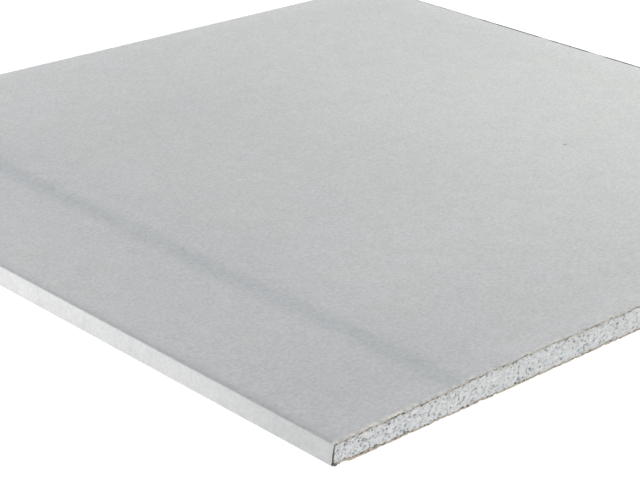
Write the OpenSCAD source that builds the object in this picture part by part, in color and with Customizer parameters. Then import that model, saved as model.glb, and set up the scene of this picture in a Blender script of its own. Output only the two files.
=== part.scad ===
// Piece of tapered-edge gypsum plasterboard (drywall): a foamed gypsum core between two paper liners.
// Millimetres, with the origin on the floor under the middle of the sheet: X across the sheet from
// the bound edge at -X, Y along the bound edge, Z up through the face.
// The bound edge is the factory edge, where the face paper wraps round the core.
// The other three sides are cut flush through all the layers.

/* [Sheet] */
// Width across the sheet, from the bound edge to the cut side
sheet_w = 450; // [240:5:1250]
// Length along the bound edge, from cut end to cut end
sheet_l = 435; // [240:5:3600]
// Overall thickness away from the taper
sheet_t = 12.5; // [9.5:0.5:19]

/* [Bound edge] */
// Width of the taper, from the bound edge inwards
taper_w = 84; // [40:1:100]
// Drop of the face at the bound edge
taper_depth = 2.2; // [0.6:0.1:2.8]
// How far the top of the bound edge is set back from its heel
edge_lean = 0.8; // [0.2:0.1:1.2]
// Outside radius of the face paper where it turns down over the edge
arris_r = 0.8; // [0.8:0.1:2.5]
// Outside radius of the face paper where it turns in under the core
heel_r = 0.8; // [0.8:0.1:2]

/* [Paper liners] */
// Thickness of the face paper
face_paper_t = 0.5; // [0.3:0.05:0.7]
// Thickness of the back paper
back_paper_t = 0.5; // [0.3:0.05:0.8]
// Width of the face paper folded in under the core
fold_w = 28; // [18:1:40]
// Strip of that fold left bare beside the bound edge
bare_w = 9; // [6:1:14]
// How much higher the bare strip lies than the rest of the fold
bare_rise = 0.45; // [0.05:0.05:0.6]

/* [Hidden] */
arc_steps = 10; // straight steps in each bend of the paper
jog_w = 1.5; // width over which the fold drops on to the back paper
cut_clear = 1; // how far a cutting shape runs past what it cuts
edge_x = -sheet_w / 2;
cut_x = sheet_w / 2;
bare_z = back_paper_t + bare_rise;

// Every section is drawn in X and Z. A line in it is given by its outward normal
// and its distance from the origin along that normal.
taper_a = atan(taper_depth / taper_w);
taper_n = [-sin(taper_a), cos(taper_a)];
taper_d = taper_n * [edge_x + taper_w, sheet_t];
lean_a = atan(edge_lean / (sheet_t - taper_depth - bare_z));
lean_n = [-cos(lean_a), sin(lean_a)];
heel_c = [edge_x + heel_r, bare_z + heel_r];
lean_d = lean_n * [edge_x, heel_c[1]];
face_n = [0, 1];

// Point where two lines cross
function crossing(n, n_dist, m, m_dist) =
    [n_dist * m[1] - m_dist * n[1], m_dist * n[0] - n_dist * m[0]] / (n[0] * m[1] - n[1] * m[0]);

// Points on an arc from one angle to another
function arc(centre, radius, from, to) = [
    for (i = [0:arc_steps])
        let (a = from + (to - from) * i / arc_steps)
            centre + radius * [cos(a), sin(a)]
];

arris_c = crossing(taper_n, taper_d - arris_r, lean_n, lean_d - arris_r);

// Section of everything inside the face paper's outer surface, shrunk inwards by inset
module wrapped_section(inset, x_end) {
    polygon(concat(
        [
            [edge_x + bare_w - jog_w, bare_z + inset],
            [edge_x + bare_w, back_paper_t + inset],
            [x_end, back_paper_t + inset],
            [x_end, sheet_t - inset],
            crossing(face_n, sheet_t - inset, taper_n, taper_d - inset)
        ],
        arc(arris_c, arris_r - inset, 90 + taper_a, 180 - lean_a),
        arc(heel_c, heel_r - inset, 180, 270)
    ));
}

// Layer as deep as the folded paper, from the end of the fold on, where the core fills it instead
module beyond_fold(z_low, x_end) {
    translate([edge_x + fold_w, z_low])
        square([x_end - edge_x - fold_w, back_paper_t + face_paper_t - z_low]);
}

// A section run along the bound edge for the length of the sheet
module along_sheet() {
    rotate([90, 0, 0])
        linear_extrude(height = sheet_l, center = true)
            children();
}

module gypsum_core() {
    color("#d5d9da") along_sheet() {
        wrapped_section(face_paper_t, cut_x);
        beyond_fold(back_paper_t, cut_x);
    }
}

module face_paper() {
    color("#bfc1c2") along_sheet() difference() {
        wrapped_section(0, cut_x);
        wrapped_section(face_paper_t, cut_x + cut_clear);
        beyond_fold(back_paper_t - cut_clear, cut_x + cut_clear);
    }
}

module back_paper() {
    color("#a89d8d") along_sheet()
        translate([edge_x + bare_w, 0])
            square([sheet_w - bare_w, back_paper_t]);
}

gypsum_core();
face_paper();
back_paper();
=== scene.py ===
"""Looks of a cut piece of tapered-edge drywall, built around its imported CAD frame.

Metres, in the CAD's frame: X across the sheet from the bound edge at -X, Y along the bound edge,
Z up through the face, with the floor at zero. The bound edge is the factory edge, where the face
paper wraps round the core. The near end (-Y), the far end (+Y) and the side at +X are cut.
"""
import math

import bmesh
import bpy
import numpy as np
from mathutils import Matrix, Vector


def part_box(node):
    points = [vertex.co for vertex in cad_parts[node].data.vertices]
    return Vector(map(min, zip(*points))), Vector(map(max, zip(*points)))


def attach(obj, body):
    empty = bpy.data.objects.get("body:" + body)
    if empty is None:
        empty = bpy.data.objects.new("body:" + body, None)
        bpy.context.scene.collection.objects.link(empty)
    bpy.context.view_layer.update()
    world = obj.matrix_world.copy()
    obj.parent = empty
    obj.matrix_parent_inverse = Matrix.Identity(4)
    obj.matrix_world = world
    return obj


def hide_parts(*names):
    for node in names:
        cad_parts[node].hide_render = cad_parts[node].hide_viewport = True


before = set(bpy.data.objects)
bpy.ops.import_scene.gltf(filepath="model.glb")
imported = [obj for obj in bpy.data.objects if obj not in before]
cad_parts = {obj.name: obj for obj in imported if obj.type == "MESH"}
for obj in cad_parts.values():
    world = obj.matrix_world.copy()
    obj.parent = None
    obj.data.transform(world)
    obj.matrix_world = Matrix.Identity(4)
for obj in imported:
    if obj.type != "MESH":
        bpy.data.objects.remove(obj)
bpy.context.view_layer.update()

CORE_LOW, CORE_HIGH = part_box("gypsum_core")
PAPER_LOW, PAPER_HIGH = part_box("face_paper")
BACK_LOW, BACK_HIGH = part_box("back_paper")

MM = 0.001

# Outer planes and paper thicknesses, from the frame
EDGE_X = PAPER_LOW.x
CUT_X = PAPER_HIGH.x
NEAR_Y = PAPER_LOW.y
FAR_Y = PAPER_HIGH.y
TOP_Z = PAPER_HIGH.z
LENGTH = FAR_Y - NEAR_Y
BACK_T = BACK_HIGH.z
FACE_T = TOP_Z - CORE_HIGH.z
BARE_W = BACK_LOW.x - EDGE_X

# Section of the bound edge, as the CAD source has it
TAPER_W = 84 * MM
TAPER_DEPTH = 2.2 * MM
EDGE_LEAN = 0.8 * MM
BEND_R = 0.8 * MM
FOLD_W = 28 * MM
BARE_Z = BACK_T + 0.45 * MM
JOG_W = 1.5 * MM
FOLD_STEP_W = 0.6 * MM
ARC_STEPS = 8

# The face paper is a thin light outer ply on a thicker brown one
OUTER_PLY_T = 0.14 * MM
PLY_GAP = 0.01 * MM

# A paper's mesh has rows of points at these distances from a cut, and a grid from RIM_W inwards
RIM_ROWS = [0.0, 0.12 * MM, 0.32 * MM, 0.65 * MM, 1.2 * MM]
RIM_W = 2.0 * MM
# An uneven last edge of a paper shifts the mesh this far in from it
SHIFT_REACH = 4 * MM

# Angles, in degrees, over which an edge of each kind of mesh looks sharp
PAPER_SHARP = 40
CORE_SHARP = 60
LUMP_SHARP = 180


# ------------------------ noise

# Each octave of noise is half as long as the one before and this much weaker
OCTAVE_FADE = 1.6
LINE_KNOTS = 4096
PLANE_KNOTS = 1024


def line_noise(seed, cell, octaves=2):
    """Smooth noise along a line, about -1 to 1, as a function of a length."""
    knots = np.random.default_rng(seed).uniform(-1, 1, (octaves, LINE_KNOTS))

    def value(t):
        total = np.zeros(np.shape(t))
        for k in range(octaves):
            p = np.asarray(t) / cell * 2**k + 1000
            i = np.floor(p).astype(int)
            f = p - i
            f = f * f * (3 - 2 * f)
            before = knots[k, i % LINE_KNOTS]
            after = knots[k, (i + 1) % LINE_KNOTS]
            total += (before * (1 - f) + after * f) / OCTAVE_FADE**k
        return total

    return value


def plane_noise(seed, cell, octaves=2):
    """Smooth noise over a plane, about -1 to 1, as a function of two lengths."""
    knots = np.random.default_rng(seed).uniform(-1, 1, (octaves, PLANE_KNOTS, PLANE_KNOTS))

    def value(u, v):
        total = np.zeros(np.shape(u))
        for k in range(octaves):
            p = np.asarray(u) / cell * 2**k + 300
            q = np.asarray(v) / cell * 2**k + 300
            i = np.floor(p).astype(int)
            j = np.floor(q).astype(int)
            f = p - i
            g = q - j
            f = f * f * (3 - 2 * f)
            g = g * g * (3 - 2 * g)
            i0, i1 = i % PLANE_KNOTS, (i + 1) % PLANE_KNOTS
            j0, j1 = j % PLANE_KNOTS, (j + 1) % PLANE_KNOTS
            low = knots[k, i0, j0] * (1 - f) + knots[k, i1, j0] * f
            high = knots[k, i0, j1] * (1 - f) + knots[k, i1, j1] * f
            total += (low * (1 - g) + high * g) / OCTAVE_FADE**k
        return total

    return value


# ------------------------ section

def crossing(n, n_dist, m, m_dist):
    """Point where two lines cross, each given by its normal and its distance along it."""
    det = n[0] * m[1] - n[1] * m[0]
    return ((n_dist * m[1] - m_dist * n[1]) / det, (m_dist * n[0] - n_dist * m[0]) / det)


def arc(centre, radius, start, end):
    """Points on an arc from one angle to another, in degrees."""
    angles = np.radians(np.linspace(start, end, ARC_STEPS + 1))
    return [(centre[0] + radius * math.cos(a), centre[1] + radius * math.sin(a)) for a in angles]


def bound_edge(inset):
    """Section round the bound edge, shrunk inwards by inset: the point where the taper starts,
    the points of the arris bend and the points of the heel bend."""
    taper_a = math.atan(TAPER_DEPTH / TAPER_W)
    taper_n = (-math.sin(taper_a), math.cos(taper_a))
    taper_d = taper_n[0] * (EDGE_X + TAPER_W) + taper_n[1] * TOP_Z
    lean_a = math.atan(EDGE_LEAN / (TOP_Z - TAPER_DEPTH - BARE_Z))
    lean_n = (-math.cos(lean_a), math.sin(lean_a))
    heel_c = (EDGE_X + BEND_R, BARE_Z + BEND_R)
    lean_d = lean_n[0] * EDGE_X + lean_n[1] * heel_c[1]
    arris_c = crossing(taper_n, taper_d - BEND_R, lean_n, lean_d - BEND_R)
    taper_start = crossing((0, 1), TOP_Z - inset, taper_n, taper_d - inset)
    arris_turn = (90 + math.degrees(taper_a), 180 - math.degrees(lean_a))
    arris = arc(arris_c, BEND_R - inset, *arris_turn)
    heel = arc(heel_c, BEND_R - inset, 180, 270)
    return taper_start, arris, heel


class Outline:
    """A line in the section walked from +X to -X, with the distance s along it and its outward
    normal at each s. Hand is 1 where the outward side is up at its start, and -1 where it is down."""

    def __init__(self, points, hand):
        self.points = np.array(points, float)
        steps = np.diff(self.points, axis=0)
        lengths = np.hypot(steps[:, 0], steps[:, 1])
        self.s = np.concatenate([[0], np.cumsum(lengths)])
        self.length = self.s[-1]
        side = hand * np.stack([steps[:, 1], -steps[:, 0]], 1) / lengths[:, None]
        both = np.vstack([side[:1], side[:-1] + side[1:], side[-1:]])
        self.normals = both / np.linalg.norm(both, axis=1)[:, None]

    def at(self, s, depth):
        """X and Z of the points at distances s along the line and depth below it."""
        x = np.interp(s, self.s, self.points[:, 0])
        z = np.interp(s, self.s, self.points[:, 1])
        nx = np.interp(s, self.s, self.normals[:, 0])
        nz = np.interp(s, self.s, self.normals[:, 1])
        return x - nx * depth, z - nz * depth

    def stations(self, spacing):
        """Distances along the line at about the given spacing, with every bend point kept."""
        found = [0.0]
        for start, end in zip(self.s[:-1], self.s[1:]):
            parts = max(1, round((end - start) / spacing))
            found += list(np.linspace(start, end, parts + 1)[1:])
        return np.array(found)


# Places in the face paper's outline where the arris bend starts and the heel bend ends
ARRIS_START = 2
HEEL_END = -4


def face_outline():
    """Outside of the face paper, from the cut side over the face and round to the fold's end."""
    taper_start, arris, heel = bound_edge(0)
    strip_end = (EDGE_X + BARE_W - JOG_W, BARE_Z)
    fold = [(EDGE_X + BARE_W, BACK_T), (EDGE_X + FOLD_W, BACK_T)]
    return Outline([(CUT_X, TOP_Z), taper_start, *arris, *heel, strip_end, *fold], 1)


def back_outline():
    """Underside of the back paper, from the cut side to the bare strip."""
    return Outline([(CUT_X, 0), (EDGE_X + BARE_W, 0)], -1)


# ------------------------ meshes

def add_object(name, data):
    """A new object in the scene, made of a mesh, a camera or a light."""
    thing = bpy.data.objects.new(name, data)
    bpy.context.scene.collection.objects.link(thing)
    return thing


class Shell:
    """Points and faces of one mesh, gathered patch by patch."""

    def __init__(self):
        self.points = []
        self.faces = []
        self.marks = []
        self.count = 0

    def add(self, x, y, z, mark=0.0):
        """Adds points and returns their numbers, in an array of the same shape."""
        x, y, z, mark = np.broadcast_arrays(x, y, z, mark)
        self.points.append(np.stack([x.ravel(), y.ravel(), z.ravel()], 1))
        self.marks.append(mark.ravel())
        ids = np.arange(self.count, self.count + x.size).reshape(x.shape)
        self.count += x.size
        return ids

    def quads(self, ids):
        """Joins a grid of points."""
        corners = np.stack([ids[:-1, :-1], ids[1:, :-1], ids[1:, 1:], ids[:-1, 1:]], -1)
        self.faces += corners.reshape(-1, 4).tolist()

    def zip(self, a, a_at, b, b_at):
        """Joins two rows of points that may differ in number, by where each point is along them."""
        i = j = 0
        while i < len(a) - 1 or j < len(b) - 1:
            if j == len(b) - 1 or (i < len(a) - 1 and a_at[i + 1] <= b_at[j + 1]):
                self.faces.append([int(a[i]), int(a[i + 1]), int(b[j])])
                i += 1
            else:
                self.faces.append([int(a[i]), int(b[j + 1]), int(b[j])])
                j += 1

    def make(self, name, material, sharp_angle, mark_name=None):
        """The mesh object, with its faces turned outwards and edges over sharp_angle degrees kept
        sharp. Mark_name is the attribute that holds the points' marks."""
        mesh = bpy.data.meshes.new(name)
        mesh.from_pydata(np.vstack(self.points).tolist(), [], self.faces)
        if mark_name:
            layer = mesh.attributes.new(mark_name, "FLOAT", "POINT")
            layer.data.foreach_set("value", np.concatenate(self.marks).astype(np.float32))
        bm = bmesh.new()
        bm.from_mesh(mesh)
        bmesh.ops.recalc_face_normals(bm, faces=bm.faces)
        bm.to_mesh(mesh)
        bm.free()
        mesh.shade_smooth()
        mesh.set_sharp_from_angle(angle=math.radians(sharp_angle))
        mesh.materials.append(material)
        return add_object(name, mesh)


# ------------------------ cut edges

# How far the blade pressed the face paper down at each cut, how unevenly, and the least of it
NEAR_DROP, NEAR_SWING = 0.48 * MM, 0.32 * MM
SIDE_DROP, SIDE_SWING = 0.44 * MM, 0.07 * MM
FAR_DROP, FAR_SWING = 0.30 * MM, 0.06 * MM
LEAST_DROP = 0.02 * MM
DROP_CELL = 4.0 * MM
# The core is pressed down with the paper, less and less to this depth
PRESS_DEPTH = 2.4 * MM

near_drop_noise = line_noise(11, DROP_CELL, 3)
side_drop_noise = line_noise(13, DROP_CELL, 3)
far_drop_noise = line_noise(14, DROP_CELL, 3)


def near_drop(x):
    """Drop at the near cut, the rough one. Its swing grows from 0.6 at the bound edge to 1.4."""
    swing = NEAR_SWING * np.clip(0.6 + (x - EDGE_X) / (130 * MM), None, 1.4)
    return np.clip(NEAR_DROP + swing * near_drop_noise(x), LEAST_DROP, None)


def side_drop(y):
    """Drop at the cut side."""
    return np.clip(SIDE_DROP + SIDE_SWING * side_drop_noise(y), LEAST_DROP, None)


def far_drop(x):
    """Drop at the far cut, the neatest one."""
    return np.clip(FAR_DROP + FAR_SWING * far_drop_noise(x), LEAST_DROP, None)


def pressed(z_top, z):
    """Share of the drop that reaches a point of the core under its top."""
    return np.clip(1 - (z_top - z) / PRESS_DEPTH, 0, 1)


class CutPath:
    """The way round the three cut sides of a paper: along the near end from the paper's last
    edge to the cut side, along that side, and back along the far end. A point on it is given as
    (s, y), with s from the cut side and y from the near end, and t is the way walked."""

    def __init__(self, length_s, near_step, side_step, far_step):
        self.length_s = length_s
        near_n = round(length_s / near_step)
        side_n = round(LENGTH / side_step)
        far_n = round(length_s / far_step)
        near_s = np.linspace(length_s, 0, near_n + 1)
        side_y = np.linspace(0, LENGTH, side_n + 1)[1:]
        far_s = np.linspace(0, length_s, far_n + 1)[1:]
        self.s = np.concatenate([near_s, 0 * side_y, far_s])
        self.y = np.concatenate([0 * near_s, side_y, LENGTH + 0 * far_s])
        self.t = np.concatenate([length_s - near_s, length_s + side_y, length_s + LENGTH + far_s])
        self.near = np.arange(len(self.t)) <= near_n
        self.far = np.arange(len(self.t)) > near_n + side_n

    def inset(self, distance):
        """(s, y) of the path moved in from all three sides."""
        s = distance + self.s * (self.length_s - distance) / self.length_s
        y = distance + self.y * (LENGTH - 2 * distance) / LENGTH
        return s, y


def paper_layer(name, outline, path, surfaces, retreat, drops, steps, end_shift, material):
    """Closed mesh of one paper layer: two surfaces, each a depth below the outline, joined round
    their rims. Retreat is how far the layer's torn rim is back from the cut, and drops how far each
    surface is pressed in at the rim, for each point of the path. Steps are each surface's mesh
    spacings along s and along y, and end_shift moves the last edge along s."""

    def shifted(s, y):
        return s + end_shift(y) * np.clip(1 - (outline.length - s) / SHIFT_REACH, 0, 1)

    shell = Shell()
    rims = []
    lasts = []
    for depth, drop, step in zip(surfaces, drops, steps):
        # The rim's rows, pressed in most at the first
        rows = []
        for offset in RIM_ROWS:
            fade = 1 - offset / RIM_W
            s, y = path.inset(offset + retreat * fade)
            s = shifted(s, y)
            x, z = outline.at(s, depth(s, y) + drop * fade**2)
            rows.append(shell.add(x, NEAR_Y + y, z))
        shell.quads(np.array(rows))

        # The grid inside the rim
        s_line = RIM_W + outline.stations(step[0]) * (outline.length - RIM_W) / outline.length
        y_parts = max(1, round(LENGTH / step[1]))
        y_line = np.linspace(RIM_W, LENGTH - RIM_W, y_parts + 1)
        s, y = np.meshgrid(s_line, y_line, indexing="ij")
        s = shifted(s, y)
        x, z = outline.at(s, depth(s, y))
        grid = shell.add(x, NEAR_Y + y, z)
        shell.quads(grid)

        # The join between them, by the way walked round the sheet
        base_s = (s_line - RIM_W) * outline.length / (outline.length - RIM_W)
        base_y = (y_line - RIM_W) * LENGTH / (LENGTH - 2 * RIM_W)
        ring = np.concatenate([grid[::-1, 0], grid[0, 1:], grid[1:, -1]])
        ring_t = np.concatenate(
            [
                outline.length - base_s[::-1],
                outline.length + base_y[1:],
                outline.length + LENGTH + base_s[1:],
            ]
        )
        shell.zip(rows[-1], path.t, ring, ring_t)
        rims.append(rows[0])
        ends = [row[0] for row in rows] + list(grid[-1]) + [row[-1] for row in rows[::-1]]
        ends_y = RIM_ROWS + list(y_line) + [LENGTH - offset for offset in RIM_ROWS[::-1]]
        lasts.append((ends, ends_y))
    # The two surfaces meet at the rims and at the last edge
    shell.quads(np.array(rims))
    shell.zip(*lasts[0], *lasts[1])
    return shell.make(name, material, PAPER_SHARP)


def path_values(path, near, side, far):
    """Values along a path from a function of X for each end and a function of Y for the side."""
    x = CUT_X - path.s
    y = NEAR_Y + path.y
    return np.where(path.near, near(x), np.where(path.far, far(x), side(y)))


# ------------------------ gypsum core

# The plain cut lies this far behind its outer plane, with a swell and a grain of these heights
CUT_BACK = 0.22 * MM
CUT_SWELL = 0.09 * MM
CUT_GRAIN = 0.07 * MM
LEAST_CUT_BACK = 0.02 * MM
# How ragged the pits' rims are, how far past its radius a pit may reach, how steep its sides are
# and the radius under which its painted shade is weaker
PIT_RAGGED = 0.35
PIT_REACH = 1.3
PIT_STEEP = 2.5
DARK_PIT_R = 0.32 * MM


class CutFace:
    """Pits, grain and painted shade in the pits of one cut face of the core, over u along it and z up
    it. Crowd is the share of pits kept at each place."""

    def __init__(self, seed, u_low, u_high, crowd):
        self.rng = np.random.default_rng(seed)
        self.u_low = u_low
        self.u_high = u_high
        self.crowd = crowd
        self.swell = plane_noise(seed + 1, 3.5 * MM, 2)
        self.grain = plane_noise(seed + 2, 0.8 * MM, 2)

    def pits(self, per_mm2, low_r, high_r, depth_share):
        """Random pits as rows of u, z, radius, stretch, turn, depth, painted shade."""
        area = (self.u_high - self.u_low) * (CORE_HIGH.z - CORE_LOW.z) / MM**2
        count = int(per_mm2 * area)
        rng = self.rng
        u = rng.uniform(self.u_low, self.u_high, count)
        z = rng.uniform(CORE_LOW.z, CORE_HIGH.z, count)
        keep = rng.uniform(0, 1, count) < self.crowd(u, z)
        radius = low_r + (high_r - low_r) * rng.uniform(0, 1, count) ** 2
        stretch = rng.uniform(0.4, 0.85, count)
        turn = rng.normal(0, 0.6, count)
        depth = radius * depth_share * rng.uniform(0.7, 1.1, count)
        painted_dark = rng.uniform(0.3, 1.0, count)
        return np.stack([u, z, radius, stretch, turn, depth, painted_dark], 1)[keep]

    def depth(self, u, z):
        """How far the face lies behind its outer plane, and how much painted shade its pits get, for
        a grid of points whose u grows along the first axis."""
        pit = np.zeros(u.shape)
        dark = np.zeros(u.shape)
        # The same noise as the grain's, moved along so that the two don't match
        ragged = self.grain(u + 5 * MM, z)
        first = u.min(1)
        last = u.max(1)
        wide = self.pits(per_mm2=0.20, low_r=0.42 * MM, high_r=0.95 * MM, depth_share=0.7)
        small = self.pits(per_mm2=1.0, low_r=0.20 * MM, high_r=0.48 * MM, depth_share=0.9)
        for pu, pz, radius, stretch, turn, deep, painted_dark in np.vstack([wide, small]):
            i = np.searchsorted(last, pu - radius * PIT_REACH)
            j = np.searchsorted(first, pu + radius * PIT_REACH)
            du = u[i:j] - pu
            dz = z[i:j] - pz
            along = (du * math.cos(turn) + dz * math.sin(turn)) / radius
            across = (dz * math.cos(turn) - du * math.sin(turn)) / (radius * stretch)
            reach = np.sqrt(along**2 + across**2) * (1 + PIT_RAGGED * ragged[i:j])
            bowl = np.sqrt(np.clip(1 - reach**PIT_STEEP, 0, 1))
            pit[i:j] = np.maximum(pit[i:j], deep * bowl)
            # Painted shade in the pit, strongest at its middle and weaker in small pits
            dark[i:j] = np.maximum(dark[i:j], painted_dark * bowl * min(1, radius / DARK_PIT_R))
        plain = CUT_BACK + CUT_SWELL * self.swell(u, z) + CUT_GRAIN * self.grain(u, z)
        return np.clip(plain, LEAST_CUT_BACK, None) + pit, dark


def core_bounds():
    """Top and bottom of the core's section as rows of X and Z, growing in X. Just beyond the fold
    the core slopes down on to the back paper."""
    taper_start, arris, heel = bound_edge(FACE_T)
    strip_end = (EDGE_X + BARE_W - JOG_W, BARE_Z + FACE_T)
    fold_z = BACK_T + FACE_T
    fold_end = EDGE_X + FOLD_W
    fold = [(EDGE_X + BARE_W, fold_z), (fold_end, fold_z)]
    beyond = [(fold_end + FOLD_STEP_W, BACK_T), (CUT_X, BACK_T)]
    top = np.array([*arris[::-1], taper_start, (CUT_X, TOP_Z - FACE_T)])
    bottom = np.array([*heel, strip_end, *fold, *beyond])
    return top, bottom


def end_grid(columns, rows, drop):
    """X and Z of a grid over the core's section, leaning with the bound edge at its first column.
    Columns are shares of the width."""
    top, bottom = core_bounds()
    x_top = top[0, 0] + columns * (CUT_X - top[0, 0])
    x_bottom = bottom[0, 0] + columns * (CUT_X - bottom[0, 0])
    z_top = np.interp(x_top, top[:, 0], top[:, 1])
    z_bottom = np.interp(x_bottom, bottom[:, 0], bottom[:, 1])
    v = np.linspace(0, 1, rows + 1)
    x = x_bottom[:, None] * (1 - v) + x_top[:, None] * v
    z = z_bottom[:, None] * (1 - v) + z_top[:, None] * v
    return x, z - drop(x) * pressed(z_top[:, None], z)


def outline_row(grid, trim):
    """Points round a grid's rim: along its bottom from column trim to the bound edge, up that edge
    and along its top to column trim."""
    return np.concatenate([grid[trim:0:-1, 0], grid[0, :], grid[1 : trim + 1, -1]])


def walked(points):
    """Share of the whole way walked at each point of a row."""
    steps = np.linalg.norm(np.diff(points, axis=0), axis=1)
    way = np.concatenate([[0], np.cumsum(steps)])
    return way / way[-1]


def crowd_near(u, z):
    """The near end has most pits close to the bound edge and under the face paper."""
    corner = np.exp(-(u - EDGE_X) / (30 * MM))
    under_face = np.exp(-(CORE_HIGH.z - TAPER_DEPTH * corner - z) / (2.2 * MM))
    return 0.45 + 0.18 * corner + 0.45 * np.minimum(under_face, 1)


def crowd_plain(u, z):
    """The other cuts have pits spread evenly."""
    return 0.6 + 0 * u


# Meshes of the core's cuts. The near end's is finest over the share of it that the photo shows.
SEEN_SHARE = 0.42
SEEN_STEP = 0.28 * MM
UNSEEN_STEP = 0.5 * MM
FAR_STEP = 0.6 * MM
SIDE_COLUMNS = 720
NEAR_ROWS = 40
FAR_ROWS = 19
# The side's mesh starts and ends this far from the two ends
SIDE_MARGIN = 0.6 * MM


def make_core(material):
    """The foamed core as one closed mesh, pitted on its three cut faces."""
    width = CUT_X - EDGE_X
    seen_n = round(SEEN_SHARE * width / SEEN_STEP)
    unseen_n = round((1 - SEEN_SHARE) * width / UNSEEN_STEP)
    near_columns = np.concatenate(
        [
            np.linspace(0, SEEN_SHARE, seen_n + 1),
            np.linspace(SEEN_SHARE, 1, unseen_n + 1)[1:],
        ]
    )
    far_columns = np.linspace(0, 1, round(width / FAR_STEP) + 1)

    shell = Shell()
    x, z = end_grid(near_columns, NEAR_ROWS, near_drop)
    # Each cut face's pits, with their painted shade kept as the points' marks
    deep, pit = CutFace(101, EDGE_X, CUT_X, crowd_near).depth(x, z)
    near = shell.add(x, NEAR_Y + deep, z, pit)
    shell.quads(near)

    x, z = end_grid(far_columns, FAR_ROWS, far_drop)
    deep, pit = CutFace(201, EDGE_X, CUT_X, crowd_plain).depth(x, z)
    far = shell.add(x, FAR_Y - deep, z, pit)
    shell.quads(far)

    y_line = np.linspace(NEAR_Y + SIDE_MARGIN, FAR_Y - SIDE_MARGIN, SIDE_COLUMNS)
    z_line = np.linspace(CORE_LOW.z, CORE_HIGH.z, FAR_ROWS + 1)
    y, z = np.meshgrid(y_line, z_line, indexing="ij")
    z = z - side_drop(y) * pressed(CORE_HIGH.z, z)
    deep, pit = CutFace(301, NEAR_Y, FAR_Y, crowd_plain).depth(y, z)
    side = shell.add(CUT_X - deep, y, z, pit)
    shell.quads(side)

    # The top and bottom run between the two ends up to their last few columns, and a strip beyond
    # those joins the side
    points = np.vstack(shell.points)
    near_trim = len(near_columns) - 4
    far_trim = len(far_columns) - 3
    near_row = outline_row(near, near_trim)
    far_row = outline_row(far, far_trim)
    shell.zip(near_row, walked(points[near_row]), far_row, walked(points[far_row]))
    for row in (0, -1):
        line = np.array([near[near_trim, row], far[far_trim, row]])
        round_side = np.concatenate(
            [near[near_trim + 1 :, row], side[:, row], far[:far_trim:-1, row]]
        )
        shell.zip(line, walked(points[line]), round_side, walked(points[round_side]))
    for end, side_row in ((near, side[0]), (far, side[-1])):
        shell.zip(end[-1], points[end[-1], 2], side_row, points[side_row, 2])
    return shell.make("core", material, CORE_SHARP, "pore_shade")


# ------------------------ papers

LEAST_UNEVEN = 0.01 * MM
# The face paper isn't pressed down on the fold, and the drop grows to its full depth over this
# length from the heel up the bound edge and on to the face
DROP_GROWTH = 14 * MM
# The brown ply swells this much more on the bound edge. Elsewhere it may swell less than the lip
# of light fibre over it by LIP_ROOM at most, and so keeps some thickness.
EDGE_SWELL = 0.28 * MM
LIP_ROOM = 0.30 * MM


def face_depths():
    """Depth of the face paper's outside, which is a little uneven but stays under the outline, and
    of its two ply joints and its inside."""
    broad = plane_noise(21, 60 * MM, 2)
    fine = plane_noise(22, 9 * MM, 2)

    def outside(s, y):
        return 0.035 * MM + 0.016 * MM * broad(s, y) + 0.005 * MM * fine(s, y)

    def outer_joint(s, y):
        return OUTER_PLY_T + 0 * s

    def inner_joint(s, y):
        return OUTER_PLY_T + PLY_GAP + 0 * s

    def inside(s, y):
        return FACE_T - PLY_GAP + 0 * s

    return outside, outer_joint, inner_joint, inside


def uneven(path, seeds, base, swing, cell):
    """An uneven length for each point of a path, such as how far a torn rim is back from the cut.
    It swings about base in waves of about cell, with a seed for each of the three cuts."""
    waves = [line_noise(seed, cell, 3) for seed in seeds]
    return np.clip(base + swing * path_values(path, *waves), LEAST_UNEVEN, None)


def straight_end(y):
    """No shift of the last edge."""
    return 0 * y


def make_face_papers(outer_material, inner_material):
    """The face paper's light outer ply and its brown inner ply."""
    outline = face_outline()
    path = CutPath(outline.length, near_step=0.45 * MM, side_step=0.6 * MM, far_step=0.8 * MM)
    outside, outer_joint, inner_joint, inside = face_depths()
    off_fold = np.clip((outline.length - path.s - FOLD_W) / DROP_GROWTH, 0, 1)
    drop = path_values(path, near_drop, side_drop, far_drop) * off_fold
    outer_back = uneven(path, (31, 32, 33), base=0.10 * MM, swing=0.08 * MM, cell=2.2 * MM)
    inner_back = uneven(path, (34, 35, 36), base=0.06 * MM, swing=0.05 * MM, cell=1.6 * MM)
    # Light fibre hangs over the brown ply in places, and brown fibre swells over the core's edge
    lip = uneven(path, (57, 58, 59), base=-0.01 * MM, swing=0.20 * MM, cell=3.2 * MM) * off_fold
    swell = uneven(path, (37, 38, 39), base=0.26 * MM, swing=0.26 * MM, cell=2.3 * MM)
    on_edge = (path.s > outline.s[ARRIS_START]) & (path.s < outline.s[HEEL_END])
    swell = np.maximum(swell, lip - LIP_ROOM) + EDGE_SWELL * on_edge
    outer = paper_layer(
        "face_paper_outer_ply",
        outline,
        path,
        (outside, outer_joint),
        outer_back,
        (drop, drop + lip),
        ((3 * MM, 3 * MM), (12 * MM, LENGTH)),
        straight_end,
        outer_material,
    )
    inner = paper_layer(
        "face_paper_inner_ply",
        outline,
        path,
        (inner_joint, inside),
        inner_back,
        (drop + lip, drop + swell),
        ((12 * MM, LENGTH), (12 * MM, LENGTH)),
        straight_end,
        inner_material,
    )
    return outer, inner


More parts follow.
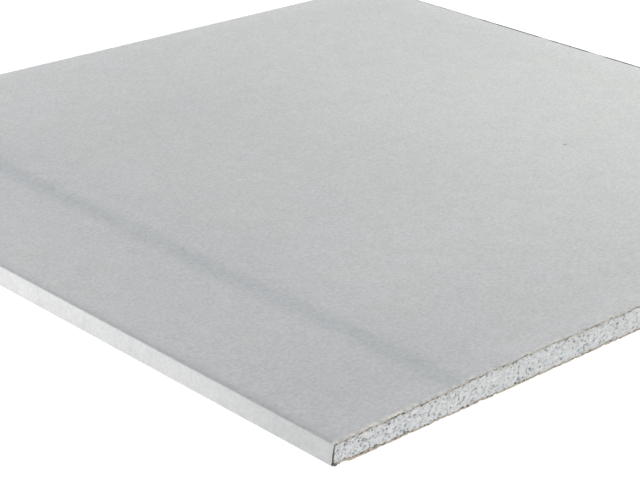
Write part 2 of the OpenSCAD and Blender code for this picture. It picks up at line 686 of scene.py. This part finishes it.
def make_back_paper(material):
    """The back paper, under the core and over the fold as far as the bare strip."""
    outline = back_outline()
    path = CutPath(outline.length, near_step=0.45 * MM, side_step=0.8 * MM, far_step=0.8 * MM)
    broad = plane_noise(41, 45 * MM, 2)
    fine = plane_noise(42, 7 * MM, 2)
    deckle_noise = line_noise(43, 9 * MM, 3)

    def outside(s, y):
        return 0.016 * MM + 0.006 * MM * broad(s, y) + 0.003 * MM * fine(s, y)

    def inside(s, y):
        return BACK_T - PLY_GAP + 0 * s

    def deckle(y):
        """The last edge beside the bare strip is a little wavy."""
        return -0.25 * MM * (1 + deckle_noise(y))

    # The rim is lifted in places, and its fibre swells over the core's edge
    lift = uneven(path, (44, 45, 46), base=-0.02 * MM, swing=0.46 * MM, cell=4.4 * MM)
    swell = uneven(path, (54, 55, 56), base=0.12 * MM, swing=0.30 * MM, cell=2.1 * MM)
    return paper_layer(
        "back_paper_ply",
        outline,
        path,
        (outside, inside),
        uneven(path, (47, 48, 49), base=0.02 * MM, swing=0.04 * MM, cell=1.7 * MM),
        (lift, lift + swell),
        ((4 * MM, 4 * MM), (20 * MM, LENGTH)),
        deckle,
        material,
    )


# ------------------------ torn fibre

def face_height(x):
    """Height of the plain face over X."""
    return TOP_Z - TAPER_DEPTH * np.clip((EDGE_X + TAPER_W - x) / TAPER_W, 0, 1)


# How dented a lump is, and how close it may come to the floor and to the face
DENT = 0.28
LUMP_OVER_FLOOR = 0.01 * MM
LUMP_UNDER_FACE = 0.03 * MM


def add_lump(shell, rng, ball, centre, size, outward, tilt):
    """A crumb of torn pulp: a dented ball with its own size along, out from and up the cut, turned
    by up to tilt and kept between the floor and the face."""
    points, triangles = ball
    dents = 1 + DENT * rng.uniform(-1, 1, len(points))
    turn = rng.uniform(-tilt, tilt)
    long = points[:, 0] * dents * size[0]
    tall = points[:, 2] * dents * size[2]
    along = long * math.cos(turn) - tall * math.sin(turn)
    up = long * math.sin(turn) + tall * math.cos(turn)
    inward = points[:, 1] * size[1]
    x = centre[0] + outward[1] * along - outward[0] * inward
    y = centre[1] - outward[0] * along - outward[1] * inward
    z = np.clip(centre[2] + up, LUMP_OVER_FLOOR, face_height(x) - LUMP_UNDER_FACE)
    first = shell.add(x, y, z)[0]
    shell.faces += (triangles + first).tolist()


def unit_ball():
    """Points and triangles of a ball of radius 1."""
    bm = bmesh.new()
    bmesh.ops.create_icosphere(bm, subdivisions=2, radius=1)
    points = np.array([v.co for v in bm.verts])
    faces = np.array([[v.index for v in f.verts] for f in bm.faces])
    bm.free()
    return points, faces


# Lumps of pulp by the back paper and under the face paper: their spacing along a cut, the largest
# size, the shape (along, outward, up) and the most they tilt in radians
LOW_LUMPS = {"spacing": 2.1 * MM, "largest": 0.75 * MM, "shape": (1.4, 0.33, 0.75), "tilt": 0.5}
HIGH_LUMPS = {"spacing": 1.6 * MM, "largest": 0.65 * MM, "shape": (2.2, 0.33, 0.60), "tilt": 0.15}
SMALLEST_LUMP = 0.25 * MM
# They are thickest round this place by the fold, over about this width
CROWDED_X = EDGE_X + 22 * MM
CROWDED_W = 18 * MM


def lump_height(rng, x, u, low, drop):
    """Height of a lump's middle: by the bare strip, on the back paper, where the fold makes it
    thicker, or under the face paper."""
    if low and x < EDGE_X + BARE_W:
        return BARE_Z + rng.uniform(-0.2, 0.3) * MM
    if low:
        on_back = rng.uniform(0.40, 0.85) * MM
        on_fold = rng.uniform(0, 0.7) * MM
        return on_back + on_fold if x < EDGE_X + FOLD_W else on_back
    return face_height(x) - drop(u) - rng.uniform(0.3, 0.6) * MM


def make_pulp(material):
    """Lumps of torn brown fibre along the paper edges of the three cuts, most by the fold."""
    rng = np.random.default_rng(61)
    ball = unit_ball()
    shell = Shell()
    gather = line_noise(62, 9 * MM, 2)
    across = (EDGE_X + 1.5 * MM, CUT_X - 1 * MM)
    along = (NEAR_Y + 1 * MM, FAR_Y - 1 * MM)
    # For each cut: its span, its share of lumps, how far its face paper is pressed down, the place
    # of a point u along it and inward from it, and its outward direction
    cuts = [
        (across, 1.0, near_drop, lambda u, inward: (u, NEAR_Y + inward), (0, -1)),
        (along, 0.5, side_drop, lambda u, inward: (CUT_X - inward, u), (1, 0)),
        (across, 0.5, far_drop, lambda u, inward: (u, FAR_Y - inward), (0, 1)),
    ]
    for (start, end), share, drop, place, outward in cuts:
        for kind in (LOW_LUMPS, HIGH_LUMPS):
            low = kind is LOW_LUMPS
            count = int(share * (end - start) / kind["spacing"])
            for u in rng.uniform(start, end, count):
                x = place(u, 0)[0]
                by_fold = math.exp(-(((x - CROWDED_X) / CROWDED_W) ** 2))
                size = rng.uniform(SMALLEST_LUMP, kind["largest"]) * np.array(kind["shape"])
                left_out = rng.uniform() > 0.5 + 0.5 * by_fold + 0.5 * gather(u)
                by_strip = low and x < EDGE_X + BARE_W
                if left_out and not by_strip:
                    continue
                z = lump_height(rng, x, u, low, drop)
                inward = size[1] + rng.uniform(0.0, 0.04) * MM + 0.01 * MM
                centre = (*place(u, inward), z)
                add_lump(shell, rng, ball, centre, size, outward, kind["tilt"])
    return shell.make("torn_pulp", material, LUMP_SHARP)


# The curl's thickness and height, how far it stands from the cut, the ends and under the face
CURL_W = 0.12 * MM
CURL_HEIGHT = 0.42 * MM
CURL_BACK = 0.36 * MM
CURL_END = 2.5 * MM
CURL_BELOW = 0.045 * MM


def make_rim_curl(material):
    """A thin curl of paper standing at the rim of the face along the cut side, nearly level with
    the face, so that the side's edge looks straight from the bound edge."""
    shell = Shell()
    y = np.linspace(NEAR_Y + CURL_END, FAR_Y - CURL_END, 301)
    wave = line_noise(64, 7 * MM, 2)(y)
    inner = CUT_X - CURL_BACK + 0.03 * MM * wave
    outer = inner + CURL_W
    top = TOP_Z - CURL_BELOW + 0.008 * MM * wave
    low = top - CURL_HEIGHT
    corners = [(inner, low), (outer, low), (outer, top), (inner, top)]
    rows = np.array([shell.add(x, y, z) for x, z in corners])
    shell.quads(rows[[0, 1, 2, 3, 0]])
    shell.faces += [rows[:, 0].tolist(), rows[::-1, -1].tolist()]
    return shell.make("rim_curl", material, PAPER_SHARP)


# ------------------------ material nodes

class Nodes:
    """A material with a Principled shader, and short ways to add nodes to it."""

    def __init__(self, name, roughness):
        self.material = bpy.data.materials.new(name)
        self.material.use_nodes = True
        self.tree = self.material.node_tree
        self.shader = self.tree.nodes["Principled BSDF"]
        self.shader.inputs["Roughness"].default_value = roughness
        self.shader.inputs["Specular IOR Level"].default_value = 0.25
        coordinates = self.tree.nodes.new("ShaderNodeTexCoord")
        self.place = coordinates.outputs["Object"]

    def put(self, socket, value):
        """Links a socket or sets its value."""
        if isinstance(value, bpy.types.NodeSocket):
            self.tree.links.new(value, socket)
        elif value is not None:
            socket.default_value = value

    def math(self, operation, a, b=None):
        """The result of an operation on one or two values."""
        node = self.tree.nodes.new("ShaderNodeMath")
        node.operation = operation
        self.put(node.inputs[0], a)
        self.put(node.inputs[1], b)
        return node.outputs[0]

    def axes(self):
        """X, Y and Z of the surface, in the CAD's frame."""
        node = self.tree.nodes.new("ShaderNodeSeparateXYZ")
        self.put(node.inputs[0], self.place)
        return node.outputs

    def stretched(self, x, y, z):
        """Coordinates multiplied by a factor for each axis."""
        node = self.tree.nodes.new("ShaderNodeMapping")
        self.put(node.inputs["Vector"], self.place)
        node.inputs["Scale"].default_value = (x, y, z)
        return node.outputs[0]

    def noise(self, cell, detail=2.0, roughness=0.5, place=None):
        """Noise whose marks are about cell long, 0 to 1."""
        node = self.tree.nodes.new("ShaderNodeTexNoise")
        self.put(node.inputs["Vector"], place or self.place)
        node.inputs["Scale"].default_value = 1 / cell
        node.inputs["Detail"].default_value = detail
        node.inputs["Roughness"].default_value = roughness
        return node.outputs["Fac"]

    def scaled(self, value, low, high, to_low, to_high, smooth=False):
        """Value mapped from one range to another and held at its ends."""
        node = self.tree.nodes.new("ShaderNodeMapRange")
        if smooth:
            node.interpolation_type = "SMOOTHSTEP"
        self.put(node.inputs["Value"], value)
        node.inputs["From Min"].default_value = low
        node.inputs["From Max"].default_value = high
        node.inputs["To Min"].default_value = to_low
        node.inputs["To Max"].default_value = to_high
        return node.outputs["Result"]

    def mix(self, share, a, b, blend="MIX"):
        """Colour a with a share of colour b over it."""
        node = self.tree.nodes.new("ShaderNodeMix")
        node.data_type = "RGBA"
        node.blend_type = blend
        for socket, value in ((node.inputs[0], share), (node.inputs[6], a), (node.inputs[7], b)):
            if isinstance(value, tuple):
                value = (*value, 1)
            self.put(socket, value)
        return node.outputs[2]

    def product(self, first, *others):
        """All the values multiplied together."""
        for other in others:
            first = self.math("MULTIPLY", first, other)
        return first

    def apart(self, value, other):
        """How far two values are apart."""
        return self.math("ABSOLUTE", self.math("SUBTRACT", value, other))

    def tint(self, colour, factor):
        """A colour made lighter or darker by a factor."""
        grey = self.tree.nodes.new("ShaderNodeCombineColor")
        for socket in grey.inputs[:3]:
            self.put(socket, factor)
        return self.mix(1.0, colour, grey.outputs[0], "MULTIPLY")

    def finish(self, colour, height=None, distance=None, strength=1.0):
        """The material, with its colour and perhaps a bump. The bump's height is a value of 0 to 1,
        and distance is what 1 stands for."""
        self.put(self.shader.inputs["Base Color"], colour)
        if height is not None:
            bump = self.tree.nodes.new("ShaderNodeBump")
            self.put(bump.inputs["Height"], height)
            bump.inputs["Distance"].default_value = distance
            bump.inputs["Strength"].default_value = strength
            self.put(self.shader.inputs["Normal"], bump.outputs[0])
        return self.material


# ------------------------ materials

# Colours of the face paper, of the painted shade on it and of the marks and fibre on it
COOL_GREY = (0.425, 0.430, 0.440)
WARM_GREY = (0.425, 0.432, 0.427)
EDGE_PAINTED_SHADE = (0.12, 0.12, 0.12)
TAPER_SHADE_BLUE = (0.09, 0.16, 0.23)
BAND_DARK = (0.09, 0.14, 0.16)
ARRIS_DARK = (0.10, 0.13, 0.145)
FLECK_DARK = (0.12, 0.11, 0.10)
BURR_LIGHT = (0.63, 0.615, 0.575)
RIM_DARK = (0.018, 0.018, 0.018)
CURL_GREY = (0.40, 0.405, 0.41)

# Colours of the back paper, the torn brown fibre, the core and the floor
BACK_BROWN = (0.40, 0.35, 0.28)
BACK_DARK_FLECK = (0.14, 0.115, 0.09)
BACK_LIGHT_FLECK = (0.62, 0.58, 0.50)
BACK_TORN_LIGHT = (0.58, 0.505, 0.395)
BACK_TORN_DARK = (0.13, 0.10, 0.07)
PLY_DARK = (0.10, 0.08, 0.06)
PLY_LIGHT = (0.60, 0.55, 0.455)
PULP_DARK = (0.075, 0.06, 0.045)
PULP_LIGHT = (0.29, 0.24, 0.175)
GYPSUM = (0.74, 0.745, 0.735)
PORE_SHADE = (0.21, 0.21, 0.215)
FLOOR_GREY = (0.14, 0.14, 0.14)

# Places of the dark band's middle, the broad patch of painted shade and the one dark fleck
BAND_X = EDGE_X + 69.7 * MM
PATCH_X = -90 * MM
PATCH_Y = 25 * MM
FLECK_X = 88 * MM
FLECK_Y = -66 * MM


def near_a_cut(n, reach):
    """Share that is 1 at the three cuts and falls to 0 at reach from them."""
    x, y, _ = n.axes()
    from_end = n.math("SUBTRACT", LENGTH / 2, n.math("ABSOLUTE", y))
    from_side = n.math("SUBTRACT", CUT_X, x)
    return n.scaled(n.math("MINIMUM", from_end, from_side), 0.0, reach, 1.0, 0.0)


def fibre_shade(n, on_edge):
    """Factor for the paper's fibre, finer where it is stretched round the bound edge."""
    grain = n.scaled(n.noise(1.6 * MM, 3, 0.65), 0.25, 0.75, -0.145, 0.145)
    grain = n.math("ADD", 1.0, n.product(grain, n.scaled(on_edge, 0.0, 1.0, 1.0, 0.7)))
    cloud = n.scaled(n.noise(9 * MM, 3, 0.6), 0.25, 0.75, 0.965, 1.035)
    streak = n.noise(1 * MM, 2, 0.5, n.stretched(0.5, 0.06, 0.5))
    streak = n.scaled(streak, 0.2, 0.8, 0.985, 1.015)
    fleck = n.noise(1.1 * MM, 1, 0.4, n.stretched(1, 0.6, 1))
    fleck = n.scaled(fleck, 0.74, 0.80, 1.0, 0.86)
    return n.product(grain, cloud, streak, fleck)


def broad_painted_light(n, on_edge):
    """Painted light and shade: a factor that makes the paper a little paler beside the cuts, towards
    the cut side and the far end and on the bound edge, and darker over a broad patch between the
    middle and that edge."""
    x, y, _ = n.axes()
    by_cuts = n.scaled(near_a_cut(n, 24 * MM), 0.0, 1.0, 1.0, 1.06)
    to_side = n.scaled(x, -160 * MM, 160 * MM, 0.970, 1.030)
    edge = n.scaled(on_edge, 0.0, 1.0, 1.0, 1.045)
    to_far_end = n.scaled(y, FAR_Y - 110 * MM, FAR_Y - 10 * MM, 0.995, 1.045)
    patch = n.product(
        n.scaled(n.apart(x, PATCH_X), 60 * MM, 170 * MM, 1.0, 0.0, smooth=True),
        n.scaled(n.apart(y, PATCH_Y), 60 * MM, 160 * MM, 1.0, 0.0, smooth=True),
    )
    patch = n.scaled(patch, 0.0, 1.0, 1.0, 0.962)
    return n.product(by_cuts, to_side, edge, to_far_end, patch)


def paper_grey(n, on_edge):
    """Grey of the paper, warmer in patches, towards the cut side and on the bound edge."""
    x, _, _ = n.axes()
    patches = n.scaled(n.noise(22 * MM, 2), 0.35, 0.65, 0.0, 0.5)
    to_side = n.scaled(x, -120 * MM, 160 * MM, 0.0, 0.6)
    warmth = n.math("ADD", n.math("ADD", patches, to_side), n.product(on_edge, 0.6))
    return n.mix(warmth, COOL_GREY, WARM_GREY)


def taper_shade_share(n):
    """Share of painted shade, a dark blue, on the pressed taper, which makes it a little darker and
    bluer than the rest.
    """
    x, _, _ = n.axes()
    taper_end = EDGE_X + TAPER_W
    return n.product(n.scaled(x, taper_end, taper_end + 30 * MM, 1.0, 0.0, smooth=True), 0.045)


def band_share(n):
    """Share of the soft dark band along the taper, which wanders and changes in strength."""
    x, _, _ = n.axes()
    wander = n.scaled(n.noise(60 * MM, 2), 0.0, 1.0, -2 * MM, 2 * MM)
    from_middle = n.apart(n.math("SUBTRACT", x, BAND_X), wander)
    band = n.scaled(from_middle, 0.0, 11 * MM, 1.0, 0.0, smooth=True)
    strength = n.scaled(n.noise(90 * MM, 2), 0.35, 0.65, 0.65, 1.0)
    return n.product(band, strength, 0.17)


def arris_share(n):
    """Share of a darker blue-grey on the face where it turns down over the bound edge, soft over a
    few millimetres with a darker line next to the edge.
    """
    x, _, z = n.axes()
    arris_z = TOP_Z - TAPER_DEPTH
    on_face = n.scaled(z, arris_z - 0.45 * MM, arris_z - 0.1 * MM, 0.0, 1.0)
    soft = n.scaled(x, EDGE_X + 0.9 * MM, EDGE_X + 7.9 * MM, 1.0, 0.0, smooth=True)
    line = n.scaled(x, EDGE_X + 1.0 * MM, EDGE_X + 3.6 * MM, 1.0, 0.0)
    painted_dark = n.math("ADD", n.product(soft, 0.145), n.product(line, 0.18))
    return n.product(painted_dark, on_face)


def fleck_share(n):
    """Share of the one small dark fleck on the face."""
    x, y, _ = n.axes()
    along_x = n.math("POWER", n.math("SUBTRACT", x, FLECK_X), 2.0)
    along_y = n.math("POWER", n.math("SUBTRACT", y, FLECK_Y), 2.0)
    away = n.math("SQRT", n.math("ADD", along_x, along_y))
    return n.scaled(away, 0.6 * MM, 1.4 * MM, 0.6, 0.0)


def burr_share(n):
    """Share of lifted light fibre beside the cuts, most near the bound edge but not on it."""
    x, _, _ = n.axes()
    by_cuts = n.scaled(near_a_cut(n, 2.2 * MM), 0.05, 0.6, 0.0, 1.0)
    patches = n.scaled(n.noise(2.6 * MM, 2), 0.36, 0.56, 0.15, 1.0)
    near_edge = n.scaled(x, EDGE_X + 30 * MM, EDGE_X + 110 * MM, 1.0, 0.35)
    on_face = n.scaled(x, EDGE_X + 0.8 * MM, EDGE_X + 1.6 * MM, 0.0, 1.0)
    return n.product(by_cuts, patches, near_edge, on_face)


def rim_marks(n):
    """Share of the long dark marks along the rim at the cut side."""
    return n.scaled(n.noise(26 * MM, 3, 0.6), 0.48, 0.56, 0.0, 1.0)


def face_paper_material():
    """Light grey paper, with broad painted light and shade, painted shade on the taper and at the
    near end of the bound edge, its dark marks, its dark band and the lifted fibre beside the cuts.
    """
    n = Nodes("face_paper", 0.82)
    x, y, _ = n.axes()
    on_edge = n.scaled(x, EDGE_X + 0.8 * MM, EDGE_X + 1.2 * MM, 1.0, 0.0)
    # Painted light and shade over the face, on top of the fibre's own marks
    shade = n.product(fibre_shade(n, on_edge), broad_painted_light(n, on_edge))
    colour = n.tint(paper_grey(n, on_edge), shade)
    # Painted shade: the end of the bound edge by the near cut is a little darker
    by_near_cut = n.scaled(y, NEAR_Y + 10 * MM, NEAR_Y + 70 * MM, 1.0, 0.0, smooth=True)
    colour = n.mix(n.product(on_edge, by_near_cut, 0.15), colour, EDGE_PAINTED_SHADE)
    colour = n.mix(taper_shade_share(n), colour, TAPER_SHADE_BLUE)
    colour = n.mix(band_share(n), colour, BAND_DARK)
    colour = n.mix(arris_share(n), colour, ARRIS_DARK)
    colour = n.mix(fleck_share(n), colour, FLECK_DARK)
    colour = n.mix(burr_share(n), colour, BURR_LIGHT)
    # Long dark marks on the rim at the cut side, as on the curl of paper there
    at_rim = n.scaled(x, CUT_X - 1.7 * MM, CUT_X - 1.1 * MM, 0.0, 1.0)
    colour = n.mix(n.product(at_rim, rim_marks(n)), colour, RIM_DARK)
    return n.finish(colour, n.noise(0.7 * MM, 3, 0.6), 0.03 * MM, 0.5)


def brown_paper_material(name, dark, light):
    """Torn brown pulp, with dark and light patches a few millimetres long along the cut. It is
    darkest on the bound edge and gets lighter away from it."""
    n = Nodes(name, 0.9)
    x, _, _ = n.axes()
    pulp = n.noise(0.8 * MM, 3, 0.65)
    patches = n.scaled(n.noise(2.0 * MM, 2, 0.5), 0.42, 0.58, 0.0, 0.35)
    share = n.scaled(n.math("ADD", pulp, patches), 0.42, 0.82, 0.0, 1.0)
    share = n.product(share, n.scaled(x, EDGE_X + 1.1 * MM, EDGE_X + 2.2 * MM, 0.15, 1.0))
    share = n.math("ADD", share, n.scaled(x, EDGE_X + 20 * MM, EDGE_X + 120 * MM, 0.0, 0.3))
    return n.finish(n.mix(share, dark, light), pulp, 0.1 * MM, 0.6)


def rim_curl_material():
    """Grey like the face, with long dark marks."""
    n = Nodes("rim_curl", 0.9)
    return n.finish(n.mix(rim_marks(n), CURL_GREY, RIM_DARK))


def back_paper_material():
    """Grey-brown paper with dark and light flecks, and torn pale fibre at the cuts."""
    n = Nodes("back_paper", 0.86)
    cloud = n.scaled(n.noise(14 * MM, 3, 0.55), 0.25, 0.75, 0.94, 1.06)
    grain = n.scaled(n.noise(0.8 * MM, 3, 0.6), 0.2, 0.8, 0.88, 1.12)
    colour = n.tint(BACK_BROWN, n.product(cloud, grain))
    dark_fleck = n.scaled(n.noise(1.3 * MM, 1, 0.4, n.stretched(1, 0.5, 1)), 0.70, 0.76, 0.0, 0.6)
    colour = n.mix(dark_fleck, colour, BACK_DARK_FLECK)
    light_fleck = n.scaled(n.noise(1.7 * MM, 1, 0.4, n.stretched(0.5, 1, 1)), 0.72, 0.78, 0.0, 0.5)
    colour = n.mix(light_fleck, colour, BACK_LIGHT_FLECK)
    at_cut = n.scaled(near_a_cut(n, 1.2 * MM), 0.0, 0.4, 0.0, 1.0)
    colour = n.mix(at_cut, colour, BACK_TORN_LIGHT)
    torn = n.scaled(n.noise(2.2 * MM, 3, 0.6), 0.54, 0.64, 0.0, 0.9)
    colour = n.mix(n.product(at_cut, torn), colour, BACK_TORN_DARK)
    return n.finish(colour, n.noise(0.8 * MM, 3, 0.6), 0.05 * MM, 0.6)


def core_material():
    """Nearly white gypsum with a coarse grain and painted shade in its pits."""
    n = Nodes("gypsum_core", 0.95)
    attribute = n.tree.nodes.new("ShaderNodeAttribute")
    attribute.attribute_name = "pore_shade"
    pore_shade = attribute.outputs["Fac"]
    grain = n.scaled(n.noise(1.9 * MM, 3, 0.65, n.stretched(0.7, 0.7, 1.2)), 0.25, 0.75, 0.76, 1.24)
    cloud = n.scaled(n.noise(7 * MM, 2, 0.5), 0.25, 0.75, 0.95, 1.05)
    colour = n.tint(GYPSUM, n.product(grain, cloud))
    # Painted shade in the pits, from the marks stored with the mesh
    colour = n.mix(n.scaled(pore_shade, 0.0, 0.8, 0.0, 0.9), colour, PORE_SHADE)
    return n.finish(colour, n.noise(0.5 * MM, 3, 0.7), 0.08 * MM, 0.6)


def floor_material():
    """A pale floor lit from below, as a photographer's light table is."""
    n = Nodes("floor", 0.9)
    n.shader.inputs["Emission Color"].default_value = (1, 1, 1, 1)
    n.shader.inputs["Emission Strength"].default_value = 0.92
    return n.finish(n.tint(FLOOR_GREY, n.scaled(n.noise(0.4, 2), 0.3, 0.7, 0.98, 1.02)))


# ------------------------ stage

# The camera's place in metres, turn in degrees, and lens and sensor in millimetres, from the
# perspective of the photo
CAMERA_PLACE = (-0.66875, -0.67094, 0.36209)
CAMERA_TURN = (66.996, -1.326, -43.250)
CAMERA_LENS = 109.34
CAMERA_SENSOR = 36

# Half the floor's width in metres, and the strength of the white sky
FLOOR_HALF = 60.0
WORLD_STRENGTH = 0.25


def make_camera():
    """The camera at the photo's view."""
    data = bpy.data.cameras.new("camera")
    data.lens = CAMERA_LENS
    data.sensor_width = CAMERA_SENSOR
    data.clip_start = 0.02
    data.clip_end = 200
    camera = add_object("camera", data)
    camera.location = CAMERA_PLACE
    camera.rotation_euler = [math.radians(turn) for turn in CAMERA_TURN]
    bpy.context.scene.camera = camera


def make_light(name, place, size, power, colour):
    """A square soft light aimed at the origin, with its size in metres and its power in watts. The
    camera doesn't see it."""
    data = bpy.data.lights.new(name, "AREA")
    data.shape = "RECTANGLE"
    data.size = size
    data.size_y = size
    data.energy = power
    data.color = colour
    light = add_object(name, data)
    light.location = place
    light.rotation_euler = (-light.location).to_track_quat("-Z", "Y").to_euler()
    light.visible_camera = False


def make_floor():
    """A wide flat floor, so that its edge is far off in every view."""
    mesh = bpy.data.meshes.new("floor")
    corners = [(-1, -1), (1, -1), (1, 1), (-1, 1)]
    points = [(x * FLOOR_HALF, y * FLOOR_HALF, 0) for x, y in corners]
    mesh.from_pydata(points, [], [(0, 1, 2, 3)])
    mesh.materials.append(floor_material())
    add_object("floor", mesh)


def make_world():
    """An even white sky."""
    world = bpy.data.worlds.new("world")
    world.use_nodes = True
    background = world.node_tree.nodes["Background"]
    background.inputs["Color"].default_value = (1, 1, 1, 1)
    background.inputs["Strength"].default_value = WORLD_STRENGTH
    bpy.context.scene.world = world


# ------------------------ assembly

bpy.context.scene.view_settings.view_transform = "Standard"
make_camera()
make_floor()
make_world()
make_light("right_light", (0.5, -0.15, 0.7), 0.5, 7.34, (1.007, 1.008, 0.985))
make_light("left_light", (-0.8, 0.4, 0.25), 0.4, 8.2, (1.028, 0.998, 0.968))
make_light("front_light", (-1.08, -1.08, 0.49), 1.0, 6.0, (0.928, 0.988, 1.084))
make_light("back_light", (0.35, 0.7, 0.7), 0.6, 0.96, (0.859, 0.968, 1.173))

brown_ply = brown_paper_material("brown_ply", PLY_DARK, PLY_LIGHT)
core = make_core(core_material())
outer_ply, inner_ply = make_face_papers(face_paper_material(), brown_ply)
back_ply = make_back_paper(back_paper_material())
pulp = make_pulp(brown_paper_material("torn_pulp", PULP_DARK, PULP_LIGHT))
curl = make_rim_curl(rim_curl_material())

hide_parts("gypsum_core")
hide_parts("face_paper")
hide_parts("back_paper")
for piece in (core, outer_ply, inner_ply, back_ply, pulp, curl):
    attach(piece, "root")
